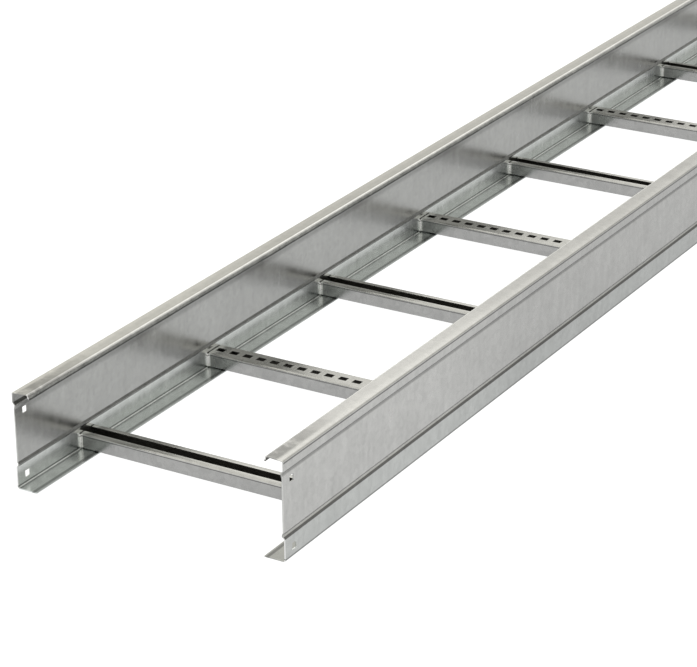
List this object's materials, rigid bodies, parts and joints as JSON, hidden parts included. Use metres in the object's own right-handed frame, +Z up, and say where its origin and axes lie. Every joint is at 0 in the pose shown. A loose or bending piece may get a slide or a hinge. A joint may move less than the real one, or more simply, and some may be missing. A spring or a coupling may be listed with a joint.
{
  "type": "cable ladder section",
  "caption": "Galvanised steel cable ladder section: beaded roll-formed side rails with C-profile rungs welded between them, slot up and perforated back up by turns.",
  "frame": {"origin": "on the floor, under the middle of the section", "axes": "+Y along the ladder, +X across it, +Z up"},
  "size_m": [0.4, 3, 0.1359],
  "materials": {
    "rail_steel": "satin, zinc coated",
    "rung_steel": "satin, zinc coated"
  },
  "bodies": {
    "root": {"left_rail": "rail_steel", "right_rail": "rail_steel", "rung_1": "rung_steel", "rung_2": "rung_steel", "rung_3": "rung_steel", "rung_4": "rung_steel", "rung_5": "rung_steel", "rung_6": "rung_steel", "rung_7": "rung_steel", "rung_8": "rung_steel", "rung_9": "rung_steel", "rung_10": "rung_steel"}
  },
  "joints": []
}
